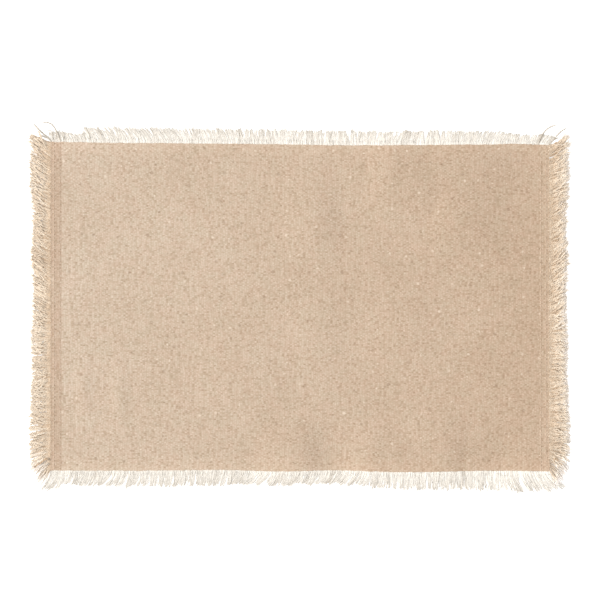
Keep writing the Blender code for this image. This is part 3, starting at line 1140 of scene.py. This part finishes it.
# %% Sew two rows down each short side
STITCH_ROWS = (2.8 * MM, 7.4 * MM)
STITCH_PITCH = 3.15 * MM
STITCH_LENGTH = 2.7 * MM
STITCH_RADIUS = 0.28 * MM
STITCH_STRAY = 0.12 * MM
STITCH_BOW = 1.3  # how high a stitch arches, in radii
STITCH_SIDES, STITCH_RINGS = 6, 7
STITCH_SHARE = np.linspace(0, 1, STITCH_RINGS)
STITCH_ARCH = STITCH_RADIUS * (STITCH_BOW * np.sin(math.pi * STITCH_SHARE) - 1.0)


def sew_row(side, inset, straight, chance):
    """The stitches of one row, each a bent strand."""
    start, end = edge_span(side)
    count = int((end - start) / STITCH_PITCH)
    radii = np.full(STITCH_RINGS, STITCH_RADIUS)
    for number in range(count):
        middle = start + (end - start) * (number + 0.5) / count
        along = middle + (STITCH_SHARE - 0.5) * STITCH_LENGTH
        stray = chance.uniform(-STITCH_STRAY, STITCH_STRAY)
        across = side.out[0] * (CLOTH_LENGTH / 2 - inset + stray)
        height = CLOTH_THICKNESS + rise(across, middle) - FLOAT_RELIEF + STITCH_ARCH
        line = np.column_stack([np.full(STITCH_RINGS, across), along, height])
        tone = np.full(STITCH_RINGS, chance.random())
        yield bend_strand(straight, line, radii, tone)


def hem_stitches():
    straight = straight_strand(STITCH_SIDES, STITCH_RINGS)
    chance = random.Random(STITCH_SEED)
    meshes = []
    for side in (LEFT, RIGHT):
        for inset in STITCH_ROWS:
            meshes.extend(sew_row(side, inset, straight, chance))
    return meshes


# %% Make the stitching
TAN_PALE = (0.60, 0.46, 0.345, 1)
TAN_WARM = (0.46, 0.345, 0.25, 1)
TAN = yarn_material("tan sewing thread", TAN_PALE, TAN_WARM, 0.20, 5000.0, 0.1)
stitches = join_strands(hem_stitches(), "hem_stitching", TAN)
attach(stitches, "root")
tell_size(stitches)

# %% [markdown]
# ## Table, light and camera
# The picture was lit softly from all round, with a little more from the left, on a white ground
# with no shadow. A bright even sky lights the table to white, and one soft sun from the left
# brings out the weave. The camera looks straight down through a long lens.

# %% The white table
TABLE_SIZE = 6.0
TABLE_GLOW = 0.38  # the ground glows a little, so a thin shadow on it stays white
TABLE_GREY = (0.93, 0.93, 0.93, 1)


def make_table():
    bm = bmesh.new()
    bmesh.ops.create_grid(bm, x_segments=1, y_segments=1, size=TABLE_SIZE / 2)
    material = bpy.data.materials.new("white table")
    material.use_nodes = True
    shader = material.node_tree.nodes["Principled BSDF"]
    shader.inputs["Base Color"].default_value = TABLE_GREY
    shader.inputs["Roughness"].default_value = 0.9
    shader.inputs["Specular IOR Level"].default_value = 0.1
    shader.inputs["Emission Color"].default_value = (1, 1, 1, 1)
    shader.inputs["Emission Strength"].default_value = TABLE_GLOW
    return make_object(bm, "white_table", material)


table = make_table()
print(f"table {TABLE_SIZE:.0f} m wide")

# %% Soft light
SKY_STRENGTH = 1.0
SUN_STRENGTH = 3.4
SUN_TILT = math.radians(61)
SUN_FROM = math.radians(180)  # from the left
SUN_SOFTNESS = math.radians(30)


def light_scene():
    world = bpy.data.worlds.new("even sky")
    world.use_nodes = True
    sky = world.node_tree.nodes["Background"]
    sky.inputs["Color"].default_value = (1, 1, 1, 1)
    sky.inputs["Strength"].default_value = SKY_STRENGTH
    bpy.context.scene.world = world
    sun = bpy.data.lights.new("soft sun", "SUN")
    sun.energy = SUN_STRENGTH
    sun.angle = SUN_SOFTNESS
    lamp = bpy.data.objects.new("soft_sun", sun)
    lamp.rotation_euler = (0, SUN_TILT, SUN_FROM)
    bpy.context.scene.collection.objects.link(lamp)


light_scene()
bpy.context.scene.view_settings.view_transform = "Standard"
print(f"sun {SUN_STRENGTH} and sky {SKY_STRENGTH}")

# %% The camera
PICTURE_SIZE = 600  # pixels, square
PIXEL = 0.836 * MM  # the size of a pixel on the table
MAT_MIDDLE_ROW = 306.5  # the picture's row at the middle of the mat
LENS = 120.0
SENSOR = 36.0


def place_camera():
    camera = bpy.data.cameras.new("camera")
    camera.lens = LENS
    camera.sensor_width = SENSOR
    rig = bpy.data.objects.new("camera", camera)
    distance = PICTURE_SIZE * PIXEL * LENS / SENSOR
    above_middle = (MAT_MIDDLE_ROW - PICTURE_SIZE / 2) * PIXEL
    rig.location = (0.0, above_middle, distance + CLOTH_THICKNESS)
    bpy.context.scene.collection.objects.link(rig)
    bpy.context.scene.camera = rig
    return distance


print(f"camera {place_camera():.3f} m above the mat")
